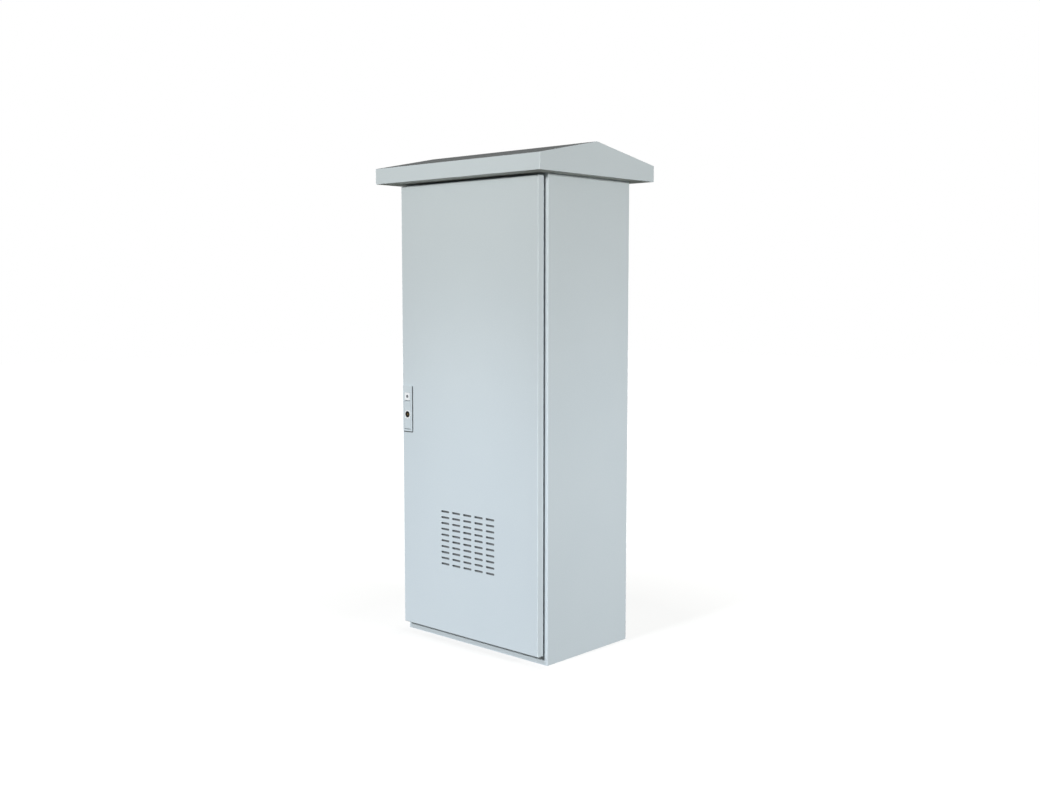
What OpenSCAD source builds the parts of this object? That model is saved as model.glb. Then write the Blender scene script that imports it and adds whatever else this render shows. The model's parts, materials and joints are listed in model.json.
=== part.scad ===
// Outdoor control cabinet: folded steel body, pitched rain roof and one full-height door.
// Millimetres, +Z up, the door faces -Y. The origin is on the floor under the middle of the roof.

/* [Body] */
// Width of the body
body_w = 800; // [700:10:1000]
// Depth of the body
body_d = 500; // [400:10:700]
// Height of the body from the floor to the soffit
body_h = 1900; // [1600:10:2200]
// Thickness of the body sheet
sheet = 2; // [1.5:0.5:3]
// Outer radius of the folds in the body sheet
fold_r = 4; // [3.5:0.5:8]
// Width of the front flange on the lock side
flange_lock = 90; // [88:1:110]
// Width of the front flange on the hinge side
flange_hinge = 52; // [50:1:70]
// Height of the sill rail below the door opening
sill_h = 76; // [70:1:110]
// Height of the head rail above the door opening
head_h = 45; // [40:1:80]
// How far the rain lip stands forward of the front flange
lip_depth = 29; // [26:0.5:31]

/* [Roof] */
// Overhang of the roof at the front
eave_front = 115; // [90:1:160]
// Overhang of the roof at the back
eave_back = 85; // [60:1:160]
// Overhang of the roof at each side
eave_side = 60; // [40:1:120]
// Height of the upright fascia
fascia_h = 63; // [40:1:90]
// Rise of the ridge above the fascia
ridge_rise = 67; // [40:1:120]
// How far the ridge lies forward of the middle of the roof
ridge_forward = 20; // [0:1:60]
// Thickness of the roof sheet
roof_sheet = 2; // [1.5:0.5:3]
// Outer radius of the folds in the roof sheet
roof_fold_r = 4; // [3.5:0.5:8]

/* [Door] */
// Gap from the body's side to the door's edge
door_side_gap = 15; // [10:1:20]
// Height of the door's lower edge above the floor
door_floor_gap = 39; // [36:1:50]
// Gap between the door's upper edge and the soffit
door_top_gap = 10; // [6:1:20]
// Depth of the folded door pan
door_depth = 32; // [26:1:34]
// Gap between the door pan and the front flange
door_stand = 8; // [8:1:14]
// Thickness of the door sheet
door_sheet = 2; // [1.5:0.5:2.5]
// Width of the return fold along the door's upper and lower edge
door_return = 12; // [8:1:16]
// Width of the foamed gasket
gasket_w = 14; // [10:1:16]
// Width of each door stiffener
stiffener_w = 25; // [20:1:40]
// Depth of each door stiffener
stiffener_d = 18; // [12:1:20]
// Width of a stiffener's welding flange at each side
stiffener_flange = 10; // [8:1:16]
// Distance between the holes of a stiffener
stiffener_pitch = 50; // [25:5:100]

/* [Vent] */
// Slots across the door
vent_columns = 5; // [3:1:7]
// Slots up the door
vent_rows = 10; // [4:1:14]
// Length of a slot
slot_len = 47; // [30:0.5:60]
// Height of a slot
slot_h = 8.5; // [4:0.5:10]
// Distance between slot columns
slot_pitch_x = 64.6; // [62:0.2:75]
// Distance between slot rows
slot_pitch_z = 24.4; // [16:0.2:30]
// Height of the middle of the slot block
vent_z = 438; // [400:1:700]
// Depth of the filter frame behind the slots
filter_d = 16; // [12:0.5:18]
// Gap between the door's sheet and the filter mat
filter_stand = 7; // [2:0.5:8]

/* [Hinges] */
// Distance from the door's edge to the pin axis
pivot_inset = 10; // [9.5:0.25:12]
// Distance from the door's face to the pin axis
pivot_depth = 20; // [19:0.5:22]
// Radius of the hinge pin
pin_r = 3; // [2.5:0.25:3.5]
// Radius of a hinge knuckle
knuckle_r = 6; // [5:0.25:6.5]
// Height of a hinge knuckle
knuckle_h = 20; // [14:1:30]
// Distance from the door's ends to the outer hinges
hinge_end = 200; // [120:5:300]

/* [Lock] */
// Width of the lock plate
plate_w = 56; // [54:1:60]
// Height of the lock plate
plate_h = 195; // [195:1:220]
// Thickness of the lock plate's rim
plate_t = 2.5; // [2:0.5:4]
// Thickness of the seal under the lock plate
seal_t = 2.5; // [1.5:0.5:3]
// How far the seal shows beyond the lock plate
seal_out = 1.5; // [0.5:0.5:2]
// Distance from the door's edge to the lock plate
plate_edge = 6; // [5:0.5:8]
// Height of the middle of the lock plate
lock_z = 963.5; // [800:0.5:1100]
// Width of the lever
lever_w = 38; // [36:0.5:40]
// Thickness of the lever
lever_t = 8; // [6:0.5:9]
// Distance from the lock plate's middle up to the lever's end
lever_rise = 28.5; // [26:0.5:30]
// Distance from the lock plate's lower end to the lever
lever_margin = 9; // [8:0.5:12]
// Distance from the lock plate's middle down to the key
key_drop = 25.5; // [22:0.5:28]
// Radius of the key cylinder's head
key_r = 13; // [11:0.5:14]
// Distance from the lock plate's middle up to the button
button_rise = 50.5; // [49.5:0.5:54]
// Width of the push button
button_w = 31; // [26:0.5:35]
// Height of the push button
button_h = 32; // [20:0.5:34]
// Height of the finger pocket under the push button
button_pocket = 3; // [1:0.5:4]
// Tooth module of the rod drive
gear_module = 1.5; // [1.25:0.05:1.5]
// Teeth on the drive pinion
gear_teeth = 20; // [18:2:20]
// Thickness of the pinion and the racks
gear_t = 6; // [4:0.5:6.5]
// Radius of the lock rods
rod_r = 4; // [3:0.25:4.25]

/* [Inside] */
// Gap between the mounting plate's edge and the body's side
mount_side_gap = 50; // [30:1:100]
// Width of the mounting plate's fixing flange at each side
mount_flange = 30; // [24:1:50]
// How far the mounting plate's face stands forward of its flanges
mount_fold = 15; // [14:0.5:30]
// Gap between the mounting plate's ends and the sill or head rail
mount_end_gap = 40; // [30:1:120]
// Thickness of the mounting plate
mount_t = 3; // [2:0.5:4]
// Distance from the back wall to the mounting plate's flanges
mount_stand = 30; // [20:1:60]
// Width of the gland opening in the floor
gland_w = 300; // [200:10:400]
// Depth of the gland opening in the floor
gland_d = 150; // [100:10:200]
// Distance from the body's side to a floor anchor hole
anchor_side = 50; // [40:1:100]
// Distance from the body's front or back to a floor anchor hole
anchor_end = 70; // [60:1:120]
// Radius of a floor anchor hole
anchor_r = 7; // [5:0.5:9]

/* [Hidden] */

paint = "#c9d0d3";
zinc = "#b4b8ba";
black = "#26282a";
rubber = "#333638";

// Fits: a turning fit, a loose screw hole, and room round a fixed insert
run_gap = 0.05;
hole_gap = 0.3;
cut = 1;
arc_steps = 6;
$fn = 48;

// Overall places, from the roof's footprint
roof_w = body_w + 2 * eave_side;
roof_d = body_d + eave_front + eave_back;
front_y = eave_front - roof_d / 2;
back_y = front_y + body_d;
mid_y = (front_y + back_y) / 2;
side_x = body_w / 2;
eave_z = body_h + fascia_h;
ridge_z = eave_z + ridge_rise;

// Door opening, inside the rain lip
open_x0 = flange_lock - side_x;
open_x1 = side_x - flange_hinge;
open_z0 = sill_h;
open_z1 = body_h - head_h;
lip_y = front_y - lip_depth;

// Door pan
door_x0 = door_side_gap - side_x;
door_x1 = side_x - door_side_gap;
door_z0 = door_floor_gap;
door_z1 = body_h - door_top_gap;
door_back_y = front_y - door_stand;
door_y = door_back_y - door_depth;
skin_y = door_y + door_sheet;
door_bend = 1.5;
door_fold_r = door_sheet + door_bend;

// Hinges
pivot_x = door_x1 - pivot_inset;
pivot_y = door_y + pivot_depth;
hinge_z = [door_z1 - hinge_end, (door_z0 + door_z1) / 2, door_z0 + hinge_end];
leaf_t = 3;
leaf_lip_gap = 4;
leaf_x0 = open_x1 + sheet + leaf_lip_gap;
leaf_h = 60;
leaf_trim = 3;
arm_t = 6;
arm_ahead = 4;
arm_front = pivot_y - arm_ahead;
stem_t = 4;
leaf_screw_side = 5;
leaf_screw_end = 8;
leaf_screw_x = leaf_x0 + leaf_screw_side;
leaf_screw_z = leaf_h / 2 - leaf_screw_end;
leaf_margin = 15;
door_leaf_h = 3 * knuckle_h + 2 * leaf_margin;
gasket_gap = 1.5;
door_leaf_x0 = open_x1 + sheet / 2 + gasket_w / 2 + gasket_gap;
knuckle_gap = 0.3;
pin_head_in = 1;
pin_head_r = knuckle_r - pin_head_in;
pin_head_h = 3;

// Small screws on the front flange
screw_r = 2.5;
screw_head_r = 4;
screw_head_h = 2;
screw_len = 8;

// Lock, front to back: rim, lever recess, rear wall of the cup, rod drive, case
plate_y = door_y - seal_t - plate_t;
plate_edge_r = plate_t / 3;
plate_corner_r = 4;
hood_t = 4;
lock_x = door_x0 + plate_edge + plate_w / 2;
plate_z0 = lock_z - plate_h / 2;
plate_z1 = lock_z + plate_h / 2;
lever_z0 = plate_z0 + lever_margin;
lever_z1 = lock_z + lever_rise;
lever_edge_r = lever_t / 8;
lever_gap = 0.5;
lever_room = 4;
lever_pin_r = 2;
lever_pivot_z = lever_z1 - lever_t / 2;
lever_pivot_y = plate_y + lever_t / 2;
cup_wall = 2.5;
cup_half = lever_w / 2 + lever_gap + cup_wall;
recess_y = plate_y + lever_t + lever_room;
cup_floor = 3;
cup_y = recess_y + cup_floor;
cup_z0 = lever_z0 - lever_gap - cup_wall;
button_z = lock_z + button_rise;
cup_z1 = button_z + button_h / 2 + lever_gap + cup_wall;
button_proud = 1;
button_travel = 3;
button_stem_r = 4;
button_corner_r = 2;
button_spare = 2;
button_cap_y = recess_y - button_travel - button_spare;
stem_out = 3;
button_end_y = cup_y + stem_out;
clip_t = 1;
clip_rim = 2;
key_z = lock_z - key_drop;
key_ring = 2;
key_hole_r = key_r + key_ring;
key_sink = 0.6;
key_front_y = plate_y + key_sink;
tail_step = 4;
tail_r = key_r - tail_step;
plug_r = 4.5;
plug_depth = 7;
keyway = [1.8, 6.5];
square_half = 5;
journal_r = 4;

// Rod drive: a pinion on the key's tail between two racks
gear_r = gear_module * gear_teeth / 2;
gear_tip_r = gear_r + gear_module;
dedendum = 1.25 * gear_module;
gear_root_r = gear_r - dedendum;
pressure = 20;
gear_base_r = gear_r * cos(pressure);
tooth_pitch = PI * gear_module;
backlash = 0.2;
gear_gap = 1.5;
gear_y0 = cup_y + gear_gap;
gear_y1 = gear_y0 + gear_t;
gear_mid_y = (gear_y0 + gear_y1) / 2;
rack_back = 6;
rack_root = gear_r + dedendum;
rack_out = rack_root + rack_back;
rod_off = rack_out - rack_back / 2;
rod_travel = gear_r * PI / 2;
spare_teeth = 3;
rack_short = spare_teeth * tooth_pitch;
rack_end = rod_travel + rack_short;
case_wall = 2;
case_gap_x = 1;
case_gap_z = 2;
case_half_x = rack_out + case_gap_x + case_wall;
case_half_z = rack_end + case_gap_z + case_wall;
case_y1 = gear_y1 + hole_gap + case_wall;
rack_neck = case_half_z + rod_travel / 2;
ear_step = 4;
ear_half = gear_r - ear_step;
ear_h = 12;
ear_t = 2;
case_screw_r = 2;
case_head_r = 3.6;
case_screw_z = case_half_z + ear_h / 2;

// Rods, guides and strikes
strike_t = 3;
strike_half = 10;
strike_leg = 40;
strike_inset = 10;
strike_gap = 2;
strike_hole_r = rod_r + strike_gap;
strike_screw_z = 24;
rod_tip_gap = 4;
rod_tip = 3;
upper_strike_z = open_z1 - strike_inset;
lower_strike_z = open_z0 + strike_inset;
guide_from_end = 80;
guide_half = 10;
guide_h = 16;
guide_round = 8;
strike_rim = 3;
strike_front = gear_mid_y - strike_hole_r - strike_rim;

// Vent and filter
vent_w = (vent_columns - 1) * slot_pitch_x + slot_len;
vent_h = (vent_rows - 1) * slot_pitch_z + slot_h;
filter_border = 18;
filter_sheet = 1.5;
filter_lip = 12;
filter_w = vent_w + 2 * filter_border;
filter_h = vent_h + 2 * filter_border;

// Door stiffeners, clear of the gasket
stiffener_sheet = 1.5;
stiffener_gap = 3;
stiffener_end = 12;
stiffener_x0 = open_x0 + gasket_w / 2 + stiffener_gap + stiffener_flange;
stiffener_x1 = open_x1 - gasket_w / 2 - stiffener_gap - stiffener_flange - stiffener_w;
stiffener_z0 = open_z0 + gasket_w / 2 + stiffener_end;
stiffener_z1 = open_z1 - gasket_w / 2 - stiffener_end;
stiffener_hole_r = 4.5;

// Floor, gland plate and fasteners
base_t = 3;
gland_rim = 30;
gland_t = 3;
gland_seal_t = 2;
gland_screw_r = 3;
gland_head_r = 5;
gland_screw_rim = 12;
corner_clear = 6;

// Mounting plate
mount_y1 = back_y - sheet - mount_stand;
mount_y0 = mount_y1 - mount_fold;
mount_half = side_x - mount_side_gap;
mount_face = mount_half - mount_flange;
mount_z0 = open_z0 + mount_end_gap;
mount_z1 = open_z1 - mount_end_gap;
stud_r = 5;
stud_collar_r = 9;
stud_inset = 30;
stud_out = 10;
nut_t = 8;
nut_r = 9.8;

// Roof fastening and air outlet
bolt_r = 4;
bolt_head_h = 5.5;
bolt_head_r = 7.5;
bolt_nut_h = 6.5;
bolt_inset = 100;
bolt_x = side_x - bolt_inset;
bolt_y = body_d / 2 - bolt_inset;
outlet_columns = 6;
outlet_rows = 4;
eave_slots = 9;

// Earth stud on the back wall
earth_inset = 100;
earth_rise = 45;
earth_x = earth_inset - side_x;
earth_z = base_t + earth_rise;
earth_r = 4;
earth_len = 28;
earth_washer_r = 10;
earth_nut_r = 7.6;
earth_nut_h = 10;

function unit(v) = v / norm(v);

// Points of one corner b of an outline, rounded with radius b[2]
function corner(a, b, c) =
    let (p = [b[0], b[1]], u = unit([a[0], a[1]] - p), v = unit([c[0], c[1]] - p), r = b[2],
         half = acos(u * v) / 2, mid = p + unit(u + v) * r / sin(half),
         s = p + u * r / tan(half) - mid, e = p + v * r / tan(half) - mid,
         a0 = atan2(s[1], s[0]), raw = atan2(e[1], e[0]) - a0,
         turn = raw > 180 ? raw - 360 : raw < -180 ? raw + 360 : raw)
    [for (k = [0:arc_steps]) mid + r * [cos(a0 + turn * k / arc_steps), sin(a0 + turn * k / arc_steps)]];

// Outline from points [x, y, corner radius]
function outline(pts) =
    let (n = len(pts))
    [for (i = [0:n - 1]) each pts[i][2] > 0
        ? corner(pts[(i + n - 1) % n], pts[i], pts[(i + 1) % n]) : [[pts[i][0], pts[i][1]]]];

function rect_points(lo, hi, r) =
    outline([[lo[0], lo[1], r], [hi[0], lo[1], r], [hi[0], hi[1], r], [lo[0], hi[1], r]]);

module box(lo, hi) { translate(lo) cube(hi - lo); }

// Profile drawn in X and Z, from y0 back to y1
module along_y(y0, y1) { translate([0, y1, 0]) rotate([90, 0, 0]) linear_extrude(y1 - y0) children(); }

// Profile drawn in Y and Z, from x0 to x1
module along_x(x0, x1) { translate([x0, 0, 0]) rotate([90, 0, 90]) linear_extrude(x1 - x0) children(); }

module rod_y(x, z, r, y0, y1) { translate([x, y1, z]) rotate([90, 0, 0]) cylinder(r = r, h = y1 - y0); }

module rod_z(x, y, r, z0, z1) { translate([x, y, z0]) cylinder(r = r, h = z1 - z0); }

// Round-ended slot along X, centred
module slot() {
    square([slot_len - slot_h, slot_h], center = true);
    for (s = [-1, 1]) translate([s * (slot_len - slot_h) / 2, 0]) circle(d = slot_h);
}

module slot_grid(columns, rows) {
    for (i = [0:columns - 1], j = [0:rows - 1])
        translate([(i - (columns - 1) / 2) * slot_pitch_x, (j - (rows - 1) / 2) * slot_pitch_z]) slot();
}

module screw(x, z, y) {
    rod_y(x, z, screw_head_r, y - screw_head_h, y);
    rod_y(x, z, screw_r, y - screw_head_h / 2, y + screw_len);
}

module leaf_screw_places() {
    for (hz = hinge_z, s = [-1, 1]) translate([leaf_screw_x, 0, hz + s * leaf_screw_z]) children();
}

module strike_screw_places() {
    for (s = [-1, 1]) {
        translate([lock_x - rod_off + s * strike_half / 2, 0, upper_strike_z - strike_screw_z]) children();
        translate([lock_x + rod_off + s * strike_half / 2, 0, lower_strike_z + strike_screw_z]) children();
    }
}

// Body

// The body's outline seen from above, t inside its outer faces
module body_rect(t, r) { polygon(rect_points([t - side_x, front_y + t], [side_x - t, back_y - t], r)); }

module body_shell() color(paint) {
    lip_z0 = open_z0 - sheet;
    lip_z1 = open_z1 + sheet;
    difference() {
        linear_extrude(body_h) difference() {
            body_rect(0, fold_r);
            body_rect(sheet, fold_r - sheet);
            translate([open_x0, front_y - cut]) square([open_x1 - open_x0, sheet + 2 * cut]);
        }
        leaf_screw_places() rod_y(0, 0, screw_r + hole_gap, front_y - cut, front_y + sheet + cut);
        strike_screw_places() rod_y(0, 0, screw_r + hole_gap, front_y - cut, front_y + sheet + cut);
    }
    box([open_x0 - sheet, lip_y, lip_z0], [open_x0, front_y + sheet, lip_z1]);
    box([open_x1, lip_y, lip_z0], [open_x1 + sheet, front_y + sheet, lip_z1]);
}

module roof_bolt_places() {
    for (sx = [-1, 1], sy = [-1, 1]) translate([sx * bolt_x, mid_y + sy * bolt_y, 0]) children();
}

module roof_bolt_holes(z, t) {
    roof_bolt_places() translate([0, 0, z - cut]) cylinder(r = bolt_r + hole_gap, h = t + 2 * cut);
}

module top_panel() color(paint) {
    difference() {
        translate([0, 0, body_h - sheet]) linear_extrude(sheet) difference() {
            body_rect(sheet, corner_clear);
            translate([0, mid_y]) slot_grid(outlet_columns, outlet_rows);
        }
        roof_bolt_holes(body_h - sheet, sheet);
    }
}

module head_rail() color(paint) {
    box([open_x0, front_y, open_z1], [open_x1, front_y + sheet, body_h]);
    box([open_x0, lip_y, open_z1], [open_x1, front_y + sheet, open_z1 + sheet]);
}

module gland_screw_places() {
    out = gland_rim - gland_screw_rim;
    for (sx = [-1, 0, 1], sy = [-1, 1])
        translate([sx * (gland_w / 2 + out), mid_y + sy * (gland_d / 2 + out), 0]) children();
}

module gland_holes(z0, z1) {
    gland_screw_places() translate([0, 0, z0 - cut])
        cylinder(r = gland_screw_r + hole_gap, h = z1 - z0 + 2 * cut);
}

module base_tray() color(paint) {
    difference() {
        linear_extrude(base_t) body_rect(sheet, corner_clear);
        translate([-gland_w / 2, mid_y - gland_d / 2, -cut]) cube([gland_w, gland_d, base_t + 2 * cut]);
        for (sx = [-1, 1], sy = [-1, 1])
            translate([sx * (side_x - anchor_side), mid_y + sy * (body_d / 2 - anchor_end), -cut])
                cylinder(r = anchor_r, h = base_t + 2 * cut);
        gland_holes(0, base_t);
    }
}

module sill_rail() color(paint) {
    box([open_x0, front_y, 0], [open_x1, front_y + sheet, open_z0]);
    box([open_x0, lip_y, open_z0 - sheet], [open_x1, front_y + sheet, open_z0]);
}

module gland_sheet(z0, z1) {
    difference() {
        box([-gland_w / 2 - gland_rim, mid_y - gland_d / 2 - gland_rim, z0],
            [gland_w / 2 + gland_rim, mid_y + gland_d / 2 + gland_rim, z1]);
        gland_holes(z0, z1);
    }
}

module gland_plate() color(zinc) gland_sheet(base_t + gland_seal_t, base_t + gland_seal_t + gland_t);

module gland_gasket() color(rubber) difference() {
    gland_sheet(base_t, base_t + gland_seal_t);
    translate([-gland_w / 2, mid_y - gland_d / 2, base_t - cut])
        cube([gland_w, gland_d, gland_seal_t + 2 * cut]);
}

module gland_screws() color(zinc) gland_screw_places() {
    top = base_t + gland_seal_t + gland_t;
    translate([0, 0, top]) cylinder(r = gland_head_r, h = gland_screw_r);
    translate([0, 0, base_t / 2]) cylinder(r = gland_screw_r, h = top - base_t / 2 + cut);
}

// Roof

function roof_points(t) =
    let (r = roof_fold_r - t, half = roof_d / 2 - t, slope = sqrt(1 + pow(ridge_rise / (roof_d / 2), 2)) * t)
    outline([[-half, body_h - (t > 0 ? cut : 0), 0], [half, body_h - (t > 0 ? cut : 0), 0],
             [half, eave_z - slope + t * ridge_rise / roof_d, r], [-ridge_forward, ridge_z - slope, r],
             [-half, eave_z - slope + t * ridge_rise / roof_d, r]]);

module roof_canopy() color(paint) difference() {
    intersection() {
        along_x(-roof_w / 2, roof_w / 2) polygon(roof_points(0));
        translate([0, 0, body_h]) linear_extrude(ridge_z - body_h)
            polygon(rect_points([-roof_w / 2, -roof_d / 2], [roof_w / 2, roof_d / 2], roof_fold_r));
    }
    along_x(roof_sheet - roof_w / 2, roof_w / 2 - roof_sheet) polygon(roof_points(roof_sheet));
}

module roof_soffit() color(paint) difference() {
    translate([0, 0, body_h]) linear_extrude(roof_sheet) difference() {
        square([roof_w - 2 * roof_sheet, roof_d - 2 * roof_sheet], center = true);
        translate([0, mid_y]) slot_grid(outlet_columns, outlet_rows);
        translate([0, back_y + eave_back / 2]) slot_grid(eave_slots, 1);
    }
    roof_bolt_holes(body_h, roof_sheet);
}

module roof_bolts() color(zinc) roof_bolt_places() {
    under = body_h - sheet;
    translate([0, 0, under - bolt_head_h]) cylinder(r = bolt_head_r, h = bolt_head_h, $fn = 6);
    translate([0, 0, under - cut]) cylinder(r = bolt_r, h = sheet + roof_sheet + bolt_nut_h + 3 * cut);
}

module roof_nuts() color(zinc) roof_bolt_places() translate([0, 0, body_h + roof_sheet]) difference() {
    cylinder(r = bolt_head_r, h = bolt_nut_h, $fn = 6);
    translate([0, 0, -cut]) cylinder(r = bolt_r + hole_gap, h = bolt_nut_h + 2 * cut);
}

// Inside

module stud_places() {
    for (sx = [-1, 1], z = [mount_z0 + stud_inset, mount_z1 - stud_inset])
        translate([sx * (mount_half - mount_flange / 2), 0, z]) children();
}

module mounting_plate() color(zinc) difference() {
    union() {
        box([-mount_face, mount_y0, mount_z0], [mount_face, mount_y0 + mount_t, mount_z1]);
        for (s = [0, 1]) mirror([s, 0, 0]) {
            box([mount_face - mount_t, mount_y0, mount_z0], [mount_face, mount_y1, mount_z1]);
            box([mount_face - mount_t, mount_y1 - mount_t, mount_z0], [mount_half, mount_y1, mount_z1]);
        }
    }
    stud_places() rod_y(0, 0, stud_r + hole_gap, mount_y1 - mount_t - cut, mount_y1 + cut);
}

module plate_studs() color(zinc) stud_places() {
    rod_y(0, 0, stud_collar_r, mount_y1, back_y - sheet);
    rod_y(0, 0, stud_r, mount_y1 - mount_t - stud_out, mount_y1 + cut);
}

module plate_nuts() color(zinc) stud_places() difference() {
    seat = mount_y1 - mount_t;
    translate([0, seat, 0]) rotate([90, 0, 0]) cylinder(r = nut_r, h = nut_t, $fn = 6);
    rod_y(0, 0, stud_r + hole_gap, seat - nut_t - cut, seat + cut);
}

module earth_stud() color("#b08d4c") {
    rod_y(earth_x, earth_z, earth_r, back_y - sheet - earth_len, back_y - sheet);
    rod_y(earth_x, earth_z, earth_washer_r, back_y - sheet - earth_r, back_y - sheet);
    translate([earth_x, back_y - sheet - earth_r / 2, earth_z]) rotate([90, 0, 0])
        cylinder(r = earth_nut_r, h = earth_nut_h, $fn = 6);
}

// Hinges

module hinge_leaf(z) color(zinc) translate([0, 0, z]) difference() {
    union() {
        box([leaf_x0, front_y - leaf_t, -leaf_h / 2], [pivot_x - leaf_trim, front_y, leaf_h / 2]);
        box([leaf_x0, arm_front, -knuckle_h / 2], [leaf_x0 + stem_t, front_y - cut, knuckle_h / 2]);
        box([leaf_x0, arm_front, -knuckle_h / 2], [pivot_x, arm_front + arm_t, knuckle_h / 2]);
        rod_z(pivot_x, pivot_y, knuckle_r, -knuckle_h / 2, knuckle_h / 2);
    }
    rod_z(pivot_x, pivot_y, pin_r + run_gap, -knuckle_h, knuckle_h);
    for (s = [-1, 1])
        rod_y(leaf_screw_x, s * leaf_screw_z, screw_r + hole_gap, front_y - leaf_t - cut, front_y + cut);
}

module hinge_screws() color(zinc) leaf_screw_places() screw(0, 0, front_y - leaf_t);

module door_leaf(z) color(zinc) translate([0, 0, z]) difference() {
    union() {
        box([door_leaf_x0, skin_y, -door_leaf_h / 2],
            [pivot_x + knuckle_r, skin_y + leaf_t, door_leaf_h / 2]);
        for (s = [0, 1]) mirror([0, 0, s]) translate([0, 0, knuckle_h / 2 + knuckle_gap]) {
            box([pivot_x - knuckle_r, skin_y, 0], [pivot_x + knuckle_r, pivot_y, knuckle_h]);
            rod_z(pivot_x, pivot_y, knuckle_r, 0, knuckle_h);
        }
    }
    rod_z(pivot_x, pivot_y, pin_r + run_gap, -door_leaf_h, door_leaf_h);
}

module hinge_pin(z) color(zinc) translate([0, 0, z]) {
    top = 1.5 * knuckle_h + knuckle_gap;
    rod_z(pivot_x, pivot_y, pin_r, -top - pin_r, top + cut);
    rod_z(pivot_x, pivot_y, pin_head_r, top, top + pin_head_h);
}

// Door

module pan(t, back) {
    r = door_fold_r - t;
    x0 = door_x0 + t;
    x1 = door_x1 - t;
    z0 = door_z0 + t;
    z1 = door_z1 - t;
    y0 = door_y + t;
    intersection() {
        translate([0, 0, z0]) linear_extrude(z1 - z0)
            polygon(outline([[x0, y0, r], [x1, y0, r], [x1, back, 0], [x0, back, 0]]));
        along_x(x0, x1) polygon(outline([[y0, z0, r], [back, z0, 0], [back, z1, 0], [y0, z1, r]]));
    }
}

module door_panel() color(paint) difference() {
    union() {
        difference() {
            pan(0, door_back_y);
            pan(door_sheet, door_back_y + cut);
        }
        for (z = [door_z0, door_z1 - door_return])
            box([door_x0, door_back_y - door_sheet, z], [door_x1, door_back_y, z + door_return]);
    }
    along_y(door_y - cut, skin_y + cut) translate([0, vent_z]) slot_grid(vent_columns, vent_rows);
    box([lock_x - cup_half - hole_gap, door_y - cut, cup_z0 - hole_gap],
        [lock_x + cup_half + hole_gap, skin_y + cut, cup_z1 + hole_gap]);
}

// The middle line of the rain lip seen from the front, grown by out
module lip_rect(out) {
    d = sheet / 2 + out;
    polygon(rect_points([open_x0 - d, open_z0 - d], [open_x1 + d, open_z1 + d], corner_clear));
}

module door_gasket() color(rubber) {
    half = gasket_w / 2;
    along_y(skin_y, lip_y) difference() {
        lip_rect(half);
        lip_rect(-half);
    }
}

module door_stiffener(x) color(zinc) {
    t = stiffener_sheet;
    count = floor((stiffener_z1 - stiffener_z0 - stiffener_pitch) / stiffener_pitch);
    difference() {
        union() {
            box([x, skin_y, stiffener_z0], [x + stiffener_w, skin_y + stiffener_d, stiffener_z1]);
            box([x - stiffener_flange, skin_y, stiffener_z0],
                [x + stiffener_w + stiffener_flange, skin_y + t, stiffener_z1]);
        }
        box([x + t, skin_y - cut, stiffener_z0 - cut],
            [x + stiffener_w - t, skin_y + stiffener_d - t, stiffener_z1 + cut]);
        for (i = [0:count])
            rod_y(x + stiffener_w / 2, stiffener_z0 + stiffener_pitch * (i + 0.5), stiffener_hole_r,
                  skin_y + stiffener_d - t - cut, skin_y + stiffener_d + cut);
    }
}

module filter_rect(w, h) { translate([-w / 2, vent_z - h / 2]) square([w, h]); }

module filter_frame() color(zinc) {
    back = skin_y + filter_d;
    along_y(skin_y, back) difference() {
        filter_rect(filter_w, filter_h);
        filter_rect(filter_w - 2 * filter_sheet, filter_h - 2 * filter_sheet);
    }
    along_y(back - filter_sheet, back) difference() {
        filter_rect(filter_w, filter_h);
        filter_rect(filter_w - 2 * filter_lip, filter_h - 2 * filter_lip);
    }
}

module filter_mat() color("#7d8183") along_y(skin_y + filter_stand, skin_y + filter_d - filter_sheet)
    filter_rect(filter_w - 2 * filter_sheet, filter_h - 2 * filter_sheet);

// Lock

// The lock plate's outline seen from the front, grown by out at its sides and lower end, cut off at top
module plate_rect(out, top) {
    polygon(rect_points([lock_x - plate_w / 2 - out, plate_z0 - out], [lock_x + plate_w / 2 + out, top],
                        plate_corner_r));
}

module lock_plate() color(paint) difference() {
    x0 = lock_x - plate_w / 2;
    x1 = lock_x + plate_w / 2;
    union() {
        intersection() {
            along_y(plate_y, door_y - seal_t) plate_rect(0, plate_z1);
            along_x(x0, x1)
                polygon(outline([[plate_y, plate_z0, plate_edge_r], [door_y, plate_z0, 0],
                                 [door_y, plate_z1, 0], [plate_y, plate_z1, plate_edge_r]]));
            translate([0, 0, plate_z0]) linear_extrude(plate_h)
                polygon(outline([[x0, plate_y, plate_edge_r], [x1, plate_y, plate_edge_r],
                                 [x1, door_y, 0], [x0, door_y, 0]]));
        }
        box([lock_x - cup_half, door_y - seal_t - cut, cup_z0], [lock_x + cup_half, cup_y, cup_z1]);
        along_y(door_y - seal_t - cut, door_y - hole_gap) difference() {
            plate_rect(0, plate_z1);
            translate([x0 - cut, plate_z0 - cut]) square([plate_w + 2 * cut, plate_h + cut - hood_t]);
        }
    }
    box([lock_x - lever_w / 2 - lever_gap, plate_y - cut, lever_z0 - lever_gap],
        [lock_x + lever_w / 2 + lever_gap, recess_y, lever_z1 + lever_gap]);
    box([lock_x - button_w / 2 - lever_gap, plate_y - cut, button_z - button_h / 2 - button_pocket],
        [lock_x + button_w / 2 + lever_gap, recess_y, button_z + button_h / 2 + lever_gap]);
    rod_y(lock_x, button_z, button_stem_r + run_gap, plate_y, cup_y + cut);
    rod_y(lock_x, key_z, tail_r + run_gap, plate_y, cup_y + cut);
    lever_pin_hole(cup_half);
    for (s = [-1, 1])
        rod_y(lock_x, key_z + s * case_screw_z, case_screw_r + hole_gap, recess_y + cut / 2, cup_y + cut);
}

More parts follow.
